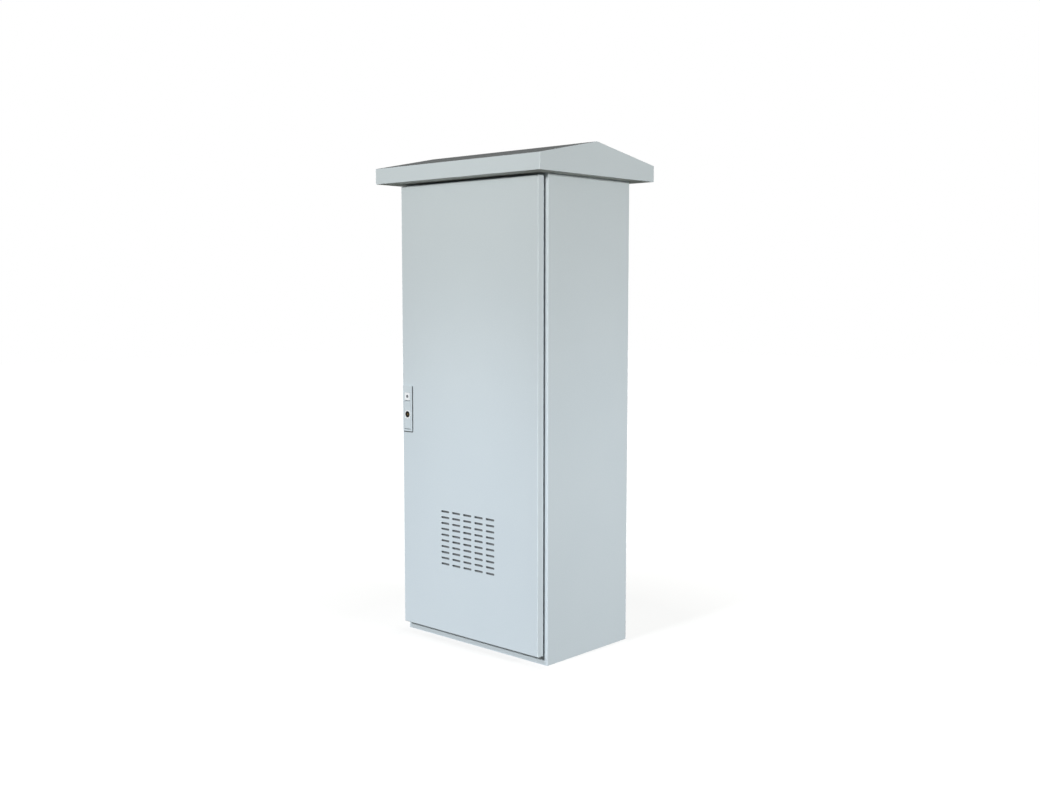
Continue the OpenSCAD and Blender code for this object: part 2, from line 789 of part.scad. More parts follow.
module lever_pin_hole(half) {
    translate([lock_x - half, lever_pivot_y, lever_pivot_z]) rotate([0, 90, 0])
        cylinder(r = lever_pin_r + run_gap, h = 2 * half);
}

module lever_pin() color(zinc) {
    half = cup_half - hole_gap;
    translate([lock_x - half, lever_pivot_y, lever_pivot_z]) rotate([0, 90, 0])
        cylinder(r = lever_pin_r, h = 2 * half);
}

module lock_seal() color(rubber) along_y(door_y - seal_t, door_y) difference() {
    plate_rect(seal_out, plate_z1 - hood_t - hole_gap);
    translate([lock_x - cup_half, cup_z0]) square([2 * cup_half, cup_z1 - cup_z0]);
}

module lock_lever() color(paint) difference() {
    union() {
        along_x(lock_x - lever_w / 2, lock_x + lever_w / 2)
            polygon(outline([[plate_y, lever_z0, lever_edge_r],
                             [plate_y + lever_t, lever_z0 + lever_t, lever_edge_r],
                             [plate_y + lever_t, lever_pivot_z, 0], [plate_y, lever_pivot_z, 0]]));
        translate([lock_x - lever_w / 2, lever_pivot_y, lever_pivot_z]) rotate([0, 90, 0])
            cylinder(r = lever_t / 2, h = lever_w);
    }
    rod_y(lock_x, key_z, key_hole_r, plate_y - cut, plate_y + lever_t + cut);
    lever_pin_hole(lever_w);
}

module push_button() color("#eceef0") {
    lo = [lock_x - button_w / 2, button_z - button_h / 2];
    along_y(plate_y - button_proud, button_cap_y)
        polygon(rect_points(lo, [lo[0] + button_w, lo[1] + button_h], button_corner_r));
    rod_y(lock_x, button_z, button_stem_r, button_cap_y - cut, button_end_y);
}

module button_clip() color(zinc) difference() {
    rod_y(lock_x, button_z, button_stem_r + clip_rim, cup_y + hole_gap, cup_y + hole_gap + clip_t);
    rod_y(lock_x, button_z, button_stem_r + run_gap, cup_y, cup_y + clip_t + cut);
}

module key_cylinder() color(black) difference() {
    union() {
        rod_y(lock_x, key_z, key_r, key_front_y, recess_y - run_gap);
        rod_y(lock_x, key_z, tail_r, recess_y - cut, cup_y + run_gap);
        translate([lock_x, cup_y, key_z])
            box([-square_half, 0, -square_half], [square_half, gear_y1 - cup_y, square_half]);
        rod_y(lock_x, key_z, journal_r, gear_y1 - cut, case_y1 + cut);
    }
    rod_y(lock_x, key_z, plug_r + run_gap, key_front_y - cut, key_front_y + plug_depth);
}

module key_plug() color("#b59a55") difference() {
    rod_y(lock_x, key_z, plug_r, key_front_y + cut / 2, key_front_y + plug_depth);
    translate([lock_x - keyway[0] / 2, key_front_y - cut, key_z - keyway[1] / 2])
        cube([keyway[0], plug_depth, keyway[1]]);
}

// Involute of the base circle at radius r, as an angle
function involute(r) = let (a = acos(gear_base_r / r)) tan(a) * 180 / PI - a;

// Half of a tooth's angle at radius r
function tooth_half(r) =
    (90 - backlash / 2 / gear_r * 180 / PI) / gear_teeth + involute(gear_r) - involute(max(r, gear_base_r));

function tooth_points(mid) =
    let (step = (gear_tip_r - gear_base_r) / arc_steps,
         radii = [gear_root_r, for (k = [0:arc_steps]) gear_base_r + step * k])
    [for (r = radii) r * [cos(mid - tooth_half(r)), sin(mid - tooth_half(r))],
     for (k = [len(radii) - 1:-1:0]) let (r = radii[k])
         r * [cos(mid + tooth_half(r)), sin(mid + tooth_half(r))]];

module drive_pinion() color(zinc) along_y(gear_y0, gear_y1) translate([lock_x, key_z]) difference() {
    polygon([for (i = [0:gear_teeth - 1]) each tooth_points(i * 360 / gear_teeth)]);
    square(2 * (square_half + run_gap), center = true);
}

// Rack for the pinion's +X side: teeth from z0 to about z1, plain bar up to z2
module rack(z0, z1, z2) {
    flank = gear_module * tan(pressure);
    foot = dedendum * tan(pressure);
    half = (tooth_pitch - backlash) / 4;
    root = rack_root;
    low = gear_r - gear_module;
    first = ceil(z0 / tooth_pitch);
    last = floor(z1 / tooth_pitch) - 1;
    polygon([[rack_out, z0], [rack_out, z2], [root, z2],
             for (i = [last:-1:first]) let (c = (i + 0.5) * tooth_pitch)
                 each [[root, c + half + foot], [low, c + half - flank],
                       [low, c - half + flank], [root, c - half - foot]],
             [root, z0]]);
}

// A rod that leaves the case upwards, drawn about the key's axis on its +X side
module lock_rod(length) {
    along_y(gear_y0, gear_y1) rack(-rack_end, rack_short, rack_neck + rod_r);
    rod_z(rod_off, gear_mid_y, rod_r, rack_neck, length - rod_tip);
    translate([rod_off, gear_mid_y, length - rod_tip])
        cylinder(r1 = rod_r, r2 = rod_r - rod_tip / 2, h = rod_tip);
}

module upper_rod() color(zinc) translate([lock_x, 0, key_z]) mirror([1, 0, 0])
    lock_rod(upper_strike_z - rod_tip_gap - key_z);

module lower_rod() color(zinc) translate([lock_x, 0, key_z]) mirror([0, 0, 1])
    lock_rod(key_z - lower_strike_z - rod_tip_gap);

module lock_case() color(zinc) translate([lock_x, 0, key_z]) difference() {
    union() {
        difference() {
            box([-case_half_x, cup_y, -case_half_z], [case_half_x, case_y1, case_half_z]);
            box([case_wall - case_half_x, cup_y - cut, case_wall - case_half_z],
                [case_half_x - case_wall, case_y1 - case_wall, case_half_z - case_wall]);
        }
        for (s = [0, 1]) mirror([s, 0, 0])
            box([case_half_x - case_wall, skin_y, -case_half_z], [case_half_x, cup_y + cut, case_half_z]);
        for (s = [0, 1]) mirror([0, 0, s])
            box([-ear_half, cup_y, case_half_z - cut], [ear_half, cup_y + ear_t, case_half_z + ear_h]);
    }
    rod_y(0, 0, journal_r + run_gap, cup_y, case_y1 + cut);
    for (s = [-1, 1])
        translate([s * rod_off, 0, -s * case_half_z])
            box([-rack_back / 2 - hole_gap, cup_y - cut, -case_wall - cut],
                [rack_back / 2 + hole_gap, gear_y1 + hole_gap, case_wall + cut]);
    for (s = [-1, 1])
        rod_y(0, s * case_screw_z, case_screw_r + hole_gap, cup_y - cut, cup_y + ear_t + cut);
}

module lock_screws() color(zinc) for (s = [-1, 1]) {
    rod_y(lock_x, key_z + s * case_screw_z, case_screw_r, recess_y + cut, cup_y + ear_t + cut);
    rod_y(lock_x, key_z + s * case_screw_z, case_head_r, cup_y + ear_t, cup_y + ear_t + case_screw_r);
}

module rod_guide(x, z) color(black) translate([x, 0, z - guide_h / 2]) difference() {
    linear_extrude(guide_h)
        polygon(outline([[-guide_half, skin_y, 0], [guide_half, skin_y, 0],
                         [guide_half, gear_mid_y + guide_half, guide_round],
                         [-guide_half, gear_mid_y + guide_half, guide_round]]));
    rod_z(0, gear_mid_y, rod_r + 2 * run_gap, -cut, guide_h + cut);
}

// Strike bracket whose flat leg lies above z and whose upright leg hangs below it
module strike(x) {
    difference() {
        union() {
            box([x - strike_half, strike_front, 0], [x + strike_half, front_y, strike_t]);
            box([x - strike_half, front_y - strike_t, -strike_leg], [x + strike_half, front_y, cut]);
        }
        rod_z(x, gear_mid_y, strike_hole_r, -cut, strike_t + cut);
        for (s = [-1, 1])
            rod_y(x + s * strike_half / 2, -strike_screw_z, screw_r + hole_gap,
                  front_y - strike_t - cut, front_y + cut);
    }
}

module strike_upper() color(zinc) translate([0, 0, upper_strike_z]) strike(lock_x - rod_off);

module strike_lower() color(zinc) translate([0, 0, lower_strike_z]) mirror([0, 0, 1])
    strike(lock_x + rod_off);

module strike_screws() color(zinc) strike_screw_places() screw(0, 0, front_y - strike_t);

body_shell();
top_panel();
head_rail();
base_tray();
sill_rail();
roof_canopy();
roof_soffit();
roof_bolts();
roof_nuts();
gland_plate();
gland_gasket();
gland_screws();
mounting_plate();
plate_studs();
plate_nuts();
earth_stud();
hinge_leaf(hinge_z[0]);  // hinge_leaf_upper
hinge_leaf(hinge_z[1]);  // hinge_leaf_middle
hinge_leaf(hinge_z[2]);  // hinge_leaf_lower
hinge_screws();
strike_upper();
strike_lower();
strike_screws();
door_panel();
door_gasket();
door_stiffener(stiffener_x0);  // door_stiffener_left
door_stiffener(stiffener_x1);  // door_stiffener_right
filter_frame();
filter_mat();
door_leaf(hinge_z[0]);  // door_leaf_upper
door_leaf(hinge_z[1]);  // door_leaf_middle
door_leaf(hinge_z[2]);  // door_leaf_lower
hinge_pin(hinge_z[0]);  // hinge_pin_upper
hinge_pin(hinge_z[1]);  // hinge_pin_middle
hinge_pin(hinge_z[2]);  // hinge_pin_lower
lock_plate();
lock_seal();
lock_case();
lock_screws();
lever_pin();
rod_guide(lock_x - rod_off, upper_strike_z - guide_from_end);  // rod_guide_upper
rod_guide(lock_x + rod_off, lower_strike_z + guide_from_end);  // rod_guide_lower
lock_lever();
push_button();
button_clip();
key_cylinder();
key_plug();
drive_pinion();
upper_rod();
lower_rod();
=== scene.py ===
import json
import math

import bmesh
import bpy
from mathutils import Matrix, Vector, noise


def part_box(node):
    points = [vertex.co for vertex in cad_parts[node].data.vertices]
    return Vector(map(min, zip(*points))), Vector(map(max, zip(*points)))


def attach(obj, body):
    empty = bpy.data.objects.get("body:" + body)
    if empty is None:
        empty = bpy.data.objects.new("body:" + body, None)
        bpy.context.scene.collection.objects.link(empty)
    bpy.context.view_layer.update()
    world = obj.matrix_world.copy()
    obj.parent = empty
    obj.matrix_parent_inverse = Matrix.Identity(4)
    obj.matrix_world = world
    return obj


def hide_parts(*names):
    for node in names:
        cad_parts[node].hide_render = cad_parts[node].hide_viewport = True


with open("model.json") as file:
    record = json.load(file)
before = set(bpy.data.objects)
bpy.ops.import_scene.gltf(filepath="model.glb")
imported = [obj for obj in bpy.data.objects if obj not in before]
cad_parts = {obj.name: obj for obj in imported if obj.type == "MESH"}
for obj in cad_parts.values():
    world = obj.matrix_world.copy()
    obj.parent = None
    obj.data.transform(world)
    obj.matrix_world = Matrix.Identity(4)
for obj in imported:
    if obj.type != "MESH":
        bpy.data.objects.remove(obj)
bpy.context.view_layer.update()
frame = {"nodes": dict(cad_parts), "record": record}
nodes = frame["nodes"]
scene = bpy.context.scene
scene.view_settings.view_transform = "Standard"
print("frame loaded:", len(nodes), "nodes")

tiny = 1e-6  # metres: points closer than this are one point
sharp = 1.0  # radians: an edge that turns more than this is a rim
white = (1, 1, 1, 1)
# Sockets of a Mix node: for colours the factor, both colours and the result, then the same for plain values
mixBy, mixFrom, mixTo, mixOut = 0, 6, 7, 2
valueFrom, valueTo, valueOut = 2, 3, 0


def mm(size):
    return size / 1000.0  # a piece's settings are in millimetres, Blender is in metres


def perMm(size):
    return 1000.0 / size  # texture scale for a pattern of this size


def toLinear(hexColour):
    parts = [int(hexColour[i:i + 2], 16) / 255 for i in (1, 3, 5)]
    return tuple(c / 12.92 if c <= 0.04045 else ((c + 0.055) / 1.055) ** 2.4 for c in parts) + (1.0,)


def addNode(tree, kind, inputs=None, **settings):
    node = tree.nodes.new(kind)
    for name, value in settings.items():
        setattr(node, name, value)
    for name, value in (inputs or {}).items():
        if isinstance(value, bpy.types.NodeSocket):
            tree.links.new(value, node.inputs[name])
        else:
            node.inputs[name].default_value = value
    return node


def newMaterial(name):
    material = bpy.data.materials.new(name)
    material.use_nodes = True
    material.node_tree.nodes.clear()
    return material, material.node_tree


# Camera at the photo's place: eye height, off the cabinet's right front corner
camera = {"place": (3.3798, -3.6096, 1.4540), "tilt": 84.772, "turn": 42.795, "lens": 40.95, "sensor": 36.0}
camData = bpy.data.cameras.new("camera")
camData.lens = camera["lens"]
camData.sensor_width = camera["sensor"]
camObject = bpy.data.objects.new("camera", camData)
camObject.location = camera["place"]
camObject.rotation_euler = (math.radians(camera["tilt"]), 0, math.radians(camera["turn"]))
scene.collection.objects.link(camObject)
scene.camera = camObject
print("camera set")

# Studio: white to the eye, a soft grey room to the light
studio = {
    "roomTint": "#f6f9fb", "roomLevel": 0.21,
    "floorSize": 40.0, "floorDrop": 0.0004,  # metres; the drop keeps the paper off the cabinet's base
    "bounceTint": "#5a5955", "paperTint": "#828280",  # what lights the cabinet from below, and what is seen
    "nearGlow": 0.76, "farGlow": 1.0, "glowFrom": 0.8, "glowTo": 2.6,  # white farther out, dimmer at the foot
    "shadeInset": 0.02,
}


# Rays that show the background itself: the camera's, and those by way of metal or glass
def backdropRays(tree):
    path = addNode(tree, "ShaderNodeLightPath")
    seen = addNode(tree, "ShaderNodeMath",
                   {0: path.outputs["Is Camera Ray"], 1: path.outputs["Is Glossy Ray"]}, operation="MAXIMUM")
    seen = addNode(tree, "ShaderNodeMath",
                   {0: seen.outputs[0], 1: path.outputs["Is Transmission Ray"]}, operation="MAXIMUM")
    return seen.outputs[0]


def makeWorld(s):
    world = bpy.data.worlds.new("room")
    scene.world = world
    world.use_nodes = True
    tree = world.node_tree
    tree.nodes.clear()
    room = addNode(tree, "ShaderNodeBackground", {"Color": toLinear(s["roomTint"]), "Strength": s["roomLevel"]})
    backdrop = addNode(tree, "ShaderNodeBackground", {"Color": white, "Strength": 1.0})
    mix = addNode(tree, "ShaderNodeMixShader",
                  {0: backdropRays(tree), 1: room.outputs[0], 2: backdrop.outputs[0]})
    addNode(tree, "ShaderNodeOutputWorld", {"Surface": mix.outputs[0]})


# Paper that glows white to the eye, less near the cabinet, where its shadow has to show
def makePaper(s):
    material, tree = newMaterial("seamless paper")
    seen = backdropRays(tree)
    coord = addNode(tree, "ShaderNodeTexCoord")
    reach = addNode(tree, "ShaderNodeVectorMath", {0: coord.outputs["Object"]}, operation="LENGTH")
    rise = addNode(tree, "ShaderNodeMapRange",
                   {"Value": reach.outputs["Value"], "From Min": s["glowFrom"], "From Max": s["glowTo"],
                    "To Min": s["nearGlow"], "To Max": s["farGlow"]})
    glow = addNode(tree, "ShaderNodeMath", {0: seen, 1: rise.outputs[0]}, operation="MULTIPLY")
    tint = addNode(tree, "ShaderNodeMix",
                   {mixBy: seen, mixFrom: toLinear(s["bounceTint"]), mixTo: toLinear(s["paperTint"])},
                   data_type="RGBA")
    paper = addNode(tree, "ShaderNodeBsdfDiffuse", {"Color": tint.outputs[mixOut]})
    light = addNode(tree, "ShaderNodeEmission", {"Color": white, "Strength": glow.outputs[0]})
    both = addNode(tree, "ShaderNodeAddShader", {0: paper.outputs[0], 1: light.outputs[0]})
    addNode(tree, "ShaderNodeOutputMaterial", {"Surface": both.outputs[0]})
    return material


# The same paper under the cabinet, where no glow comes up through the anchor holes
def makeShadedPaper(s):
    material, tree = newMaterial("seamless paper in shade")
    paper = addNode(tree, "ShaderNodeBsdfDiffuse", {"Color": toLinear(s["bounceTint"])})
    addNode(tree, "ShaderNodeOutputMaterial", {"Surface": paper.outputs[0]})
    return material


def makeFloor(s):
    bm = bmesh.new()
    bmesh.ops.create_grid(bm, x_segments=1, y_segments=1, size=s["floorSize"] / 2)
    bmesh.ops.translate(bm, verts=bm.verts, vec=(0, 0, -s["floorDrop"]))
    inset = Vector((s["shadeInset"], s["shadeInset"], 0))
    low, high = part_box("base_tray")
    low, high = low + inset, high - inset
    for corner in (low, high):
        for across in ((1, 0, 0), (0, 1, 0)):
            bmesh.ops.bisect_plane(bm, geom=bm.verts[:] + bm.edges[:] + bm.faces[:], plane_co=corner,
                                   plane_no=across)
    for face in bm.faces:
        middle = face.calc_center_median()
        face.material_index = int(low.x < middle.x < high.x and low.y < middle.y < high.y)
    mesh = bpy.data.meshes.new("floor")
    bm.to_mesh(mesh)
    bm.free()
    mesh.materials.append(makePaper(s))
    mesh.materials.append(makeShadedPaper(s))
    floor = bpy.data.objects.new("floor", mesh)
    scene.collection.objects.link(floor)


# Soft lamps above the eaves: the front's come in from higher the lower they aim, as under a raised softbox
lamps = {
    "frontUpper": {"kind": "SPOT", "place": (0.0, -7.2, 3.0), "target": (0, -0.27, 3.3),
                   "size": 0.4, "cone": 50, "power": 1590, "tint": "#fffefa"},
    "frontLower": {"kind": "SPOT", "place": (0.0, -7.2, 3.8), "target": (0, -0.27, -3.5),
                   "size": 0.4, "cone": 65, "power": 2600, "tint": "#fbfdff"},
    "frontFoot": {"kind": "SPOT", "place": (0.2, -5.2, 4.6), "target": (0, -0.25, -0.1),
                  "size": 0.25, "cone": 24, "power": 450, "tint": "#e6f0ff"},
    "sideStrip": {"kind": "AREA", "place": (7.5, 0.4, 2.70), "target": (0, 0.1, 0.8),
                  "size": (1.6, 0.9), "power": 322, "tint": "#fffefa"},
    "sideFoot": {"kind": "SPOT", "place": (7.2, 0.4, 2.8), "target": (0.4, 0.1, 0.25),
                 "size": 0.5, "cone": 24, "power": 480, "tint": "#e6f0ff"},
    "leftStrip": {"kind": "AREA", "place": (-7.5, 0.4, 2.70), "target": (0, 0.1, 0.8),
                  "size": (1.6, 0.9), "power": 210, "tint": "#fffefa"},
    "backStrip": {"kind": "AREA", "place": (-0.3, 7.4, 2.90), "target": (0, 0, 0.8),
                  "size": (1.6, 0.9), "power": 320, "tint": "#fffefa"},
}


def makeLamp(name, lamp):
    data = bpy.data.lights.new(name, lamp["kind"])
    if lamp["kind"] == "AREA":
        data.shape = "RECTANGLE"
        data.size, data.size_y = lamp["size"]
    else:
        data.spot_size = math.radians(lamp["cone"])
        data.spot_blend = 1.0  # fades all the way from its middle to its rim
        data.shadow_soft_size = lamp["size"]
    data.energy = lamp["power"]
    data.color = toLinear(lamp["tint"])[:3]
    place, target = Vector(lamp["place"]), Vector(lamp["target"])
    lampObject = bpy.data.objects.new(name, data)
    lampObject.location = place
    lampObject.rotation_euler = (target - place).to_track_quat("-Z", "Y").to_euler()
    scene.collection.objects.link(lampObject)


makeWorld(studio)
makeFloor(studio)
for name, lamp in lamps.items():
    makeLamp(name, lamp)
print("studio set")

# Powder-coated steel: baked pigment, satin, with a faint orange peel and slow changes of film thickness
powderCoat = {
    "tone": "#ced7db", "cloudTone": "#c8d2d7", "speckTone": "#d8e0e4",
    "cloudMm": 420, "cloudDetail": 3.0, "cloudRough": 0.55, "cloudLow": 0.3, "cloudHigh": 0.7,
    "speckMm": 5, "speckDetail": 2.0, "speckRough": 0.6, "speckLow": 0.55, "speckHigh": 0.8, "speckMost": 0.5,
    "peelMm": 7,  # real peel is near 2 mm, drawn coarser so that it shows
    "peelDetail": 1.0, "peelRough": 0.4, "peelHeight": 0.00012, "peelStrength": 0.22,
    "roughLow": 0.60, "roughHigh": 0.70, "gloss": 0.22, "ior": 1.5,
}
# The roof's underside: the same coat made matt, and a darker, warmer grey that is painted shade under the eaves
soffitShadeCoat = {**powderCoat, "tone": "#c3c6c2", "cloudTone": "#babdb9", "speckTone": "#cccfcb",
          "roughLow": 0.88, "roughHigh": 0.96, "gloss": 0.03}


def powderCoatNodes(tree, coord, p):
    place = coord.outputs["Object"]
    cloud = addNode(tree, "ShaderNodeTexNoise",
                    {"Vector": place, "Scale": perMm(p["cloudMm"]), "Detail": p["cloudDetail"],
                     "Roughness": p["cloudRough"]})
    tone = addNode(tree, "ShaderNodeMix",
                   {mixBy: cloud.outputs["Fac"], mixFrom: toLinear(p["tone"]), mixTo: toLinear(p["cloudTone"])},
                   data_type="RGBA")
    speck = addNode(tree, "ShaderNodeTexNoise",
                    {"Vector": place, "Scale": perMm(p["speckMm"]), "Detail": p["speckDetail"],
                     "Roughness": p["speckRough"]})
    speckAmount = addNode(tree, "ShaderNodeMapRange",
                          {"Value": speck.outputs["Fac"], "From Min": p["speckLow"], "From Max": p["speckHigh"],
                           "To Max": p["speckMost"]})
    colour = addNode(tree, "ShaderNodeMix",
                     {mixBy: speckAmount.outputs[0], mixFrom: tone.outputs[mixOut],
                      mixTo: toLinear(p["speckTone"])},
                     data_type="RGBA")
    rough = addNode(tree, "ShaderNodeMapRange",
                    {"Value": cloud.outputs["Fac"], "From Min": p["cloudLow"], "From Max": p["cloudHigh"],
                     "To Min": p["roughLow"], "To Max": p["roughHigh"]})
    peel = addNode(tree, "ShaderNodeTexNoise",
                   {"Vector": place, "Scale": perMm(p["peelMm"]), "Detail": p["peelDetail"],
                    "Roughness": p["peelRough"]})
    bump = addNode(tree, "ShaderNodeBump",
                   {"Strength": p["peelStrength"], "Distance": p["peelHeight"], "Height": peel.outputs["Fac"]})
    return colour.outputs[mixOut], rough.outputs[0], bump.outputs["Normal"]


def makePowderCoat(name, p):
    material, tree = newMaterial(name)
    coord = addNode(tree, "ShaderNodeTexCoord")
    colour, rough, normal = powderCoatNodes(tree, coord, p)
    shader = addNode(tree, "ShaderNodeBsdfPrincipled",
                     {"Base Color": colour, "Roughness": rough, "Normal": normal, "IOR": p["ior"],
                      "Specular IOR Level": p["gloss"]})
    addNode(tree, "ShaderNodeOutputMaterial", {"Surface": shader.outputs[0]})
    return material


# The same coat on the roof; its two slopes, which face upwards, are a dark grey with faint streaks: painted
# shade, for slopes that get little light
paintedRoofShade = {"tone": "#5f6364", "streakTone": "#6f7272", "streakMm": 60, "streakDetail": 4.0,
            "slopeFrom": 0.90, "slopeTo": 0.96, "rough": 0.85}


def makeRoofCoat(p, paintedShade):
    material, tree = newMaterial("powder-coated roof steel")
    coord = addNode(tree, "ShaderNodeTexCoord")
    colour, rough, normal = powderCoatNodes(tree, coord, p)
    # Faces turned upwards, the two slopes, take the dark grey: painted shade
    facing = addNode(tree, "ShaderNodeSeparateXYZ", {0: coord.outputs["Normal"]})
    slope = addNode(tree, "ShaderNodeMapRange",
                    {"Value": facing.outputs["Z"], "From Min": paintedShade["slopeFrom"], "From Max": paintedShade["slopeTo"]})
    streak = addNode(tree, "ShaderNodeTexNoise",
                     {"Vector": coord.outputs["Object"], "Scale": perMm(paintedShade["streakMm"]),
                      "Detail": paintedShade["streakDetail"]})
    dark = addNode(tree, "ShaderNodeMix",
                   {mixBy: streak.outputs["Fac"], mixFrom: toLinear(paintedShade["tone"]),
                    mixTo: toLinear(paintedShade["streakTone"])},
                   data_type="RGBA")
    both = addNode(tree, "ShaderNodeMix",
                   {mixBy: slope.outputs[0], mixFrom: colour, mixTo: dark.outputs[mixOut]}, data_type="RGBA")
    roughBoth = addNode(tree, "ShaderNodeMix",
                        {mixBy: slope.outputs[0], valueFrom: rough, valueTo: paintedShade["rough"]}, data_type="FLOAT")
    shader = addNode(tree, "ShaderNodeBsdfPrincipled",
                     {"Base Color": both.outputs[mixOut], "Roughness": roughBoth.outputs[valueOut],
                      "Normal": normal, "IOR": p["ior"], "Specular IOR Level": p["gloss"]})
    addNode(tree, "ShaderNodeOutputMaterial", {"Surface": shader.outputs[0]})
    return material


# Hot-dip galvanised sheet: spangles of zinc crystals, each a little brighter or duller
galvanised = {"tone": "#aeb2b5", "brightTone": "#c0c4c6", "spangleMm": 10, "bendShare": 1.6, "bendDetail": 2.0,
              "shiftShare": 0.6, "roughLow": 0.34, "roughHigh": 0.5}


def makeGalvanised(p):
    material, tree = newMaterial("galvanised sheet")
    place = addNode(tree, "ShaderNodeTexCoord").outputs["Object"]
    bend = addNode(tree, "ShaderNodeTexNoise",
                   {"Vector": place, "Scale": perMm(p["spangleMm"] * p["bendShare"]), "Detail": p["bendDetail"]})
    shifted = addNode(tree, "ShaderNodeVectorMath",
                      {0: bend.outputs["Color"], "Scale": mm(p["shiftShare"] * p["spangleMm"])},
                      operation="SCALE")
    moved = addNode(tree, "ShaderNodeVectorMath", {0: place, 1: shifted.outputs[0]}, operation="ADD")
    crystal = addNode(tree, "ShaderNodeTexVoronoi", {"Vector": moved.outputs[0], "Scale": perMm(p["spangleMm"])})
    shade = addNode(tree, "ShaderNodeSeparateColor", {0: crystal.outputs["Color"]})
    colour = addNode(tree, "ShaderNodeMix",
                     {mixBy: shade.outputs["Red"], mixFrom: toLinear(p["tone"]),
                      mixTo: toLinear(p["brightTone"])},
                     data_type="RGBA")
    rough = addNode(tree, "ShaderNodeMapRange",
                    {"Value": shade.outputs["Green"], "To Min": p["roughLow"], "To Max": p["roughHigh"]})
    shader = addNode(tree, "ShaderNodeBsdfPrincipled",
                     {"Base Color": colour.outputs[mixOut], "Roughness": rough.outputs[0], "Metallic": 1.0})
    addNode(tree, "ShaderNodeOutputMaterial", {"Surface": shader.outputs[0]})
    return material


handling = {"markDetail": 4.0, "markLow": 0.3, "markHigh": 0.7}  # faint marks on every plated or turned metal
# Zinc-plated steel hardware: barrel plated, even and fairly bright
zincPlate = {**handling, "tone": "#b4b8ba", "dullTone": "#999ea2", "markMm": 9,
             "roughLow": 0.25, "roughHigh": 0.42}
# Black zinc with a sealer: dark, satin, rubbed a little lighter
blackZinc = {**handling, "tone": "#121314", "dullTone": "#26282a", "markMm": 6,
             "roughLow": 0.3, "roughHigh": 0.45}
# Turned brass: warm, with fine tool marks
turnedBrass = {**handling, "tone": "#8a7440", "dullTone": "#5f5028", "markMm": 3,
               "roughLow": 0.25, "roughHigh": 0.4}
# Chrome on the key's ring: the brightest metal here
chromeRing = {**handling, "tone": "#e6e9ea", "dullTone": "#d2d6d8", "markMm": 4,
              "roughLow": 0.18, "roughHigh": 0.3}


def makeMetal(name, p):
    material, tree = newMaterial(name)
    coord = addNode(tree, "ShaderNodeTexCoord")
    mark = addNode(tree, "ShaderNodeTexNoise",
                   {"Vector": coord.outputs["Object"], "Scale": perMm(p["markMm"]), "Detail": p["markDetail"]})
    colour = addNode(tree, "ShaderNodeMix",
                     {mixBy: mark.outputs["Fac"], mixFrom: toLinear(p["tone"]), mixTo: toLinear(p["dullTone"])},
                     data_type="RGBA")
    rough = addNode(tree, "ShaderNodeMapRange",
                    {"Value": mark.outputs["Fac"], "From Min": p["markLow"], "From Max": p["markHigh"],
                     "To Min": p["roughLow"], "To Max": p["roughHigh"]})
    shader = addNode(tree, "ShaderNodeBsdfPrincipled",
                     {"Base Color": colour.outputs[mixOut], "Roughness": rough.outputs[0], "Metallic": 1.0})
    addNode(tree, "ShaderNodeOutputMaterial", {"Surface": shader.outputs[0]})
    return material


grain = {"poreDetail": 3.0, "poreRough": 0.6, "poreLow": 0.45, "poreHigh": 0.7, "poreStrength": 0.5}
# Foamed polyurethane seal: matt dark grey skin with fine pores
foamSkin = {**grain, "tone": "#2a2c2e", "poreTone": "#17181a", "poreMm": 2.5, "rough": 0.72, "ior": 1.45,
            "depth": 0.0004}
# Moulded ABS: smooth, slightly glossy, with a fine spark-eroded grain
whiteAbs = {**grain, "tone": "#eff1f3", "poreTone": "#e3e6ea", "poreMm": 1.6, "rough": 0.38, "ior": 1.53,
            "depth": 0.00003}
greyAbs = {**whiteAbs, "tone": "#6d7176", "poreTone": "#5d6166", "rough": 0.42}
# Moulded black nylon: matt, drawn slightly uneven by the mould
blackNylon = {**grain, "tone": "#1b1c1d", "poreTone": "#252728", "poreMm": 3, "rough": 0.55, "ior": 1.53,
              "depth": 0.00008}


def makeMoulded(name, p):
    material, tree = newMaterial(name)
    coord = addNode(tree, "ShaderNodeTexCoord")
    pore = addNode(tree, "ShaderNodeTexNoise",
                   {"Vector": coord.outputs["Object"], "Scale": perMm(p["poreMm"]), "Detail": p["poreDetail"],
                    "Roughness": p["poreRough"]})
    amount = addNode(tree, "ShaderNodeMapRange",
                     {"Value": pore.outputs["Fac"], "From Min": p["poreLow"], "From Max": p["poreHigh"]})
    colour = addNode(tree, "ShaderNodeMix",
                     {mixBy: amount.outputs[0], mixFrom: toLinear(p["tone"]), mixTo: toLinear(p["poreTone"])},
                     data_type="RGBA")
    bump = addNode(tree, "ShaderNodeBump",
                   {"Strength": p["poreStrength"], "Distance": p["depth"], "Height": pore.outputs["Fac"]})
    shader = addNode(tree, "ShaderNodeBsdfPrincipled",
                     {"Base Color": colour.outputs[mixOut], "Roughness": p["rough"], "IOR": p["ior"],
                      "Normal": bump.outputs["Normal"]})
    addNode(tree, "ShaderNodeOutputMaterial", {"Surface": shader.outputs[0]})
    return material


# Needled polyester filter: tangled fibres, matt and soft
fibreMat = {
    "tone": "#85898b", "gapTone": "#5c6062", "gapLow": 0.35, "gapHigh": 0.65,
    "fibreMm": 2.2, "fibreDetail": 4.0, "fibreTangle": 3.0, "tuftMm": 9, "tuftDetail": 5.0, "tuftTangle": 1.5,
    "fibreShare": 0.5, "rough": 0.95, "depth": 0.0012, "strength": 0.8, "sheen": 0.2,
}


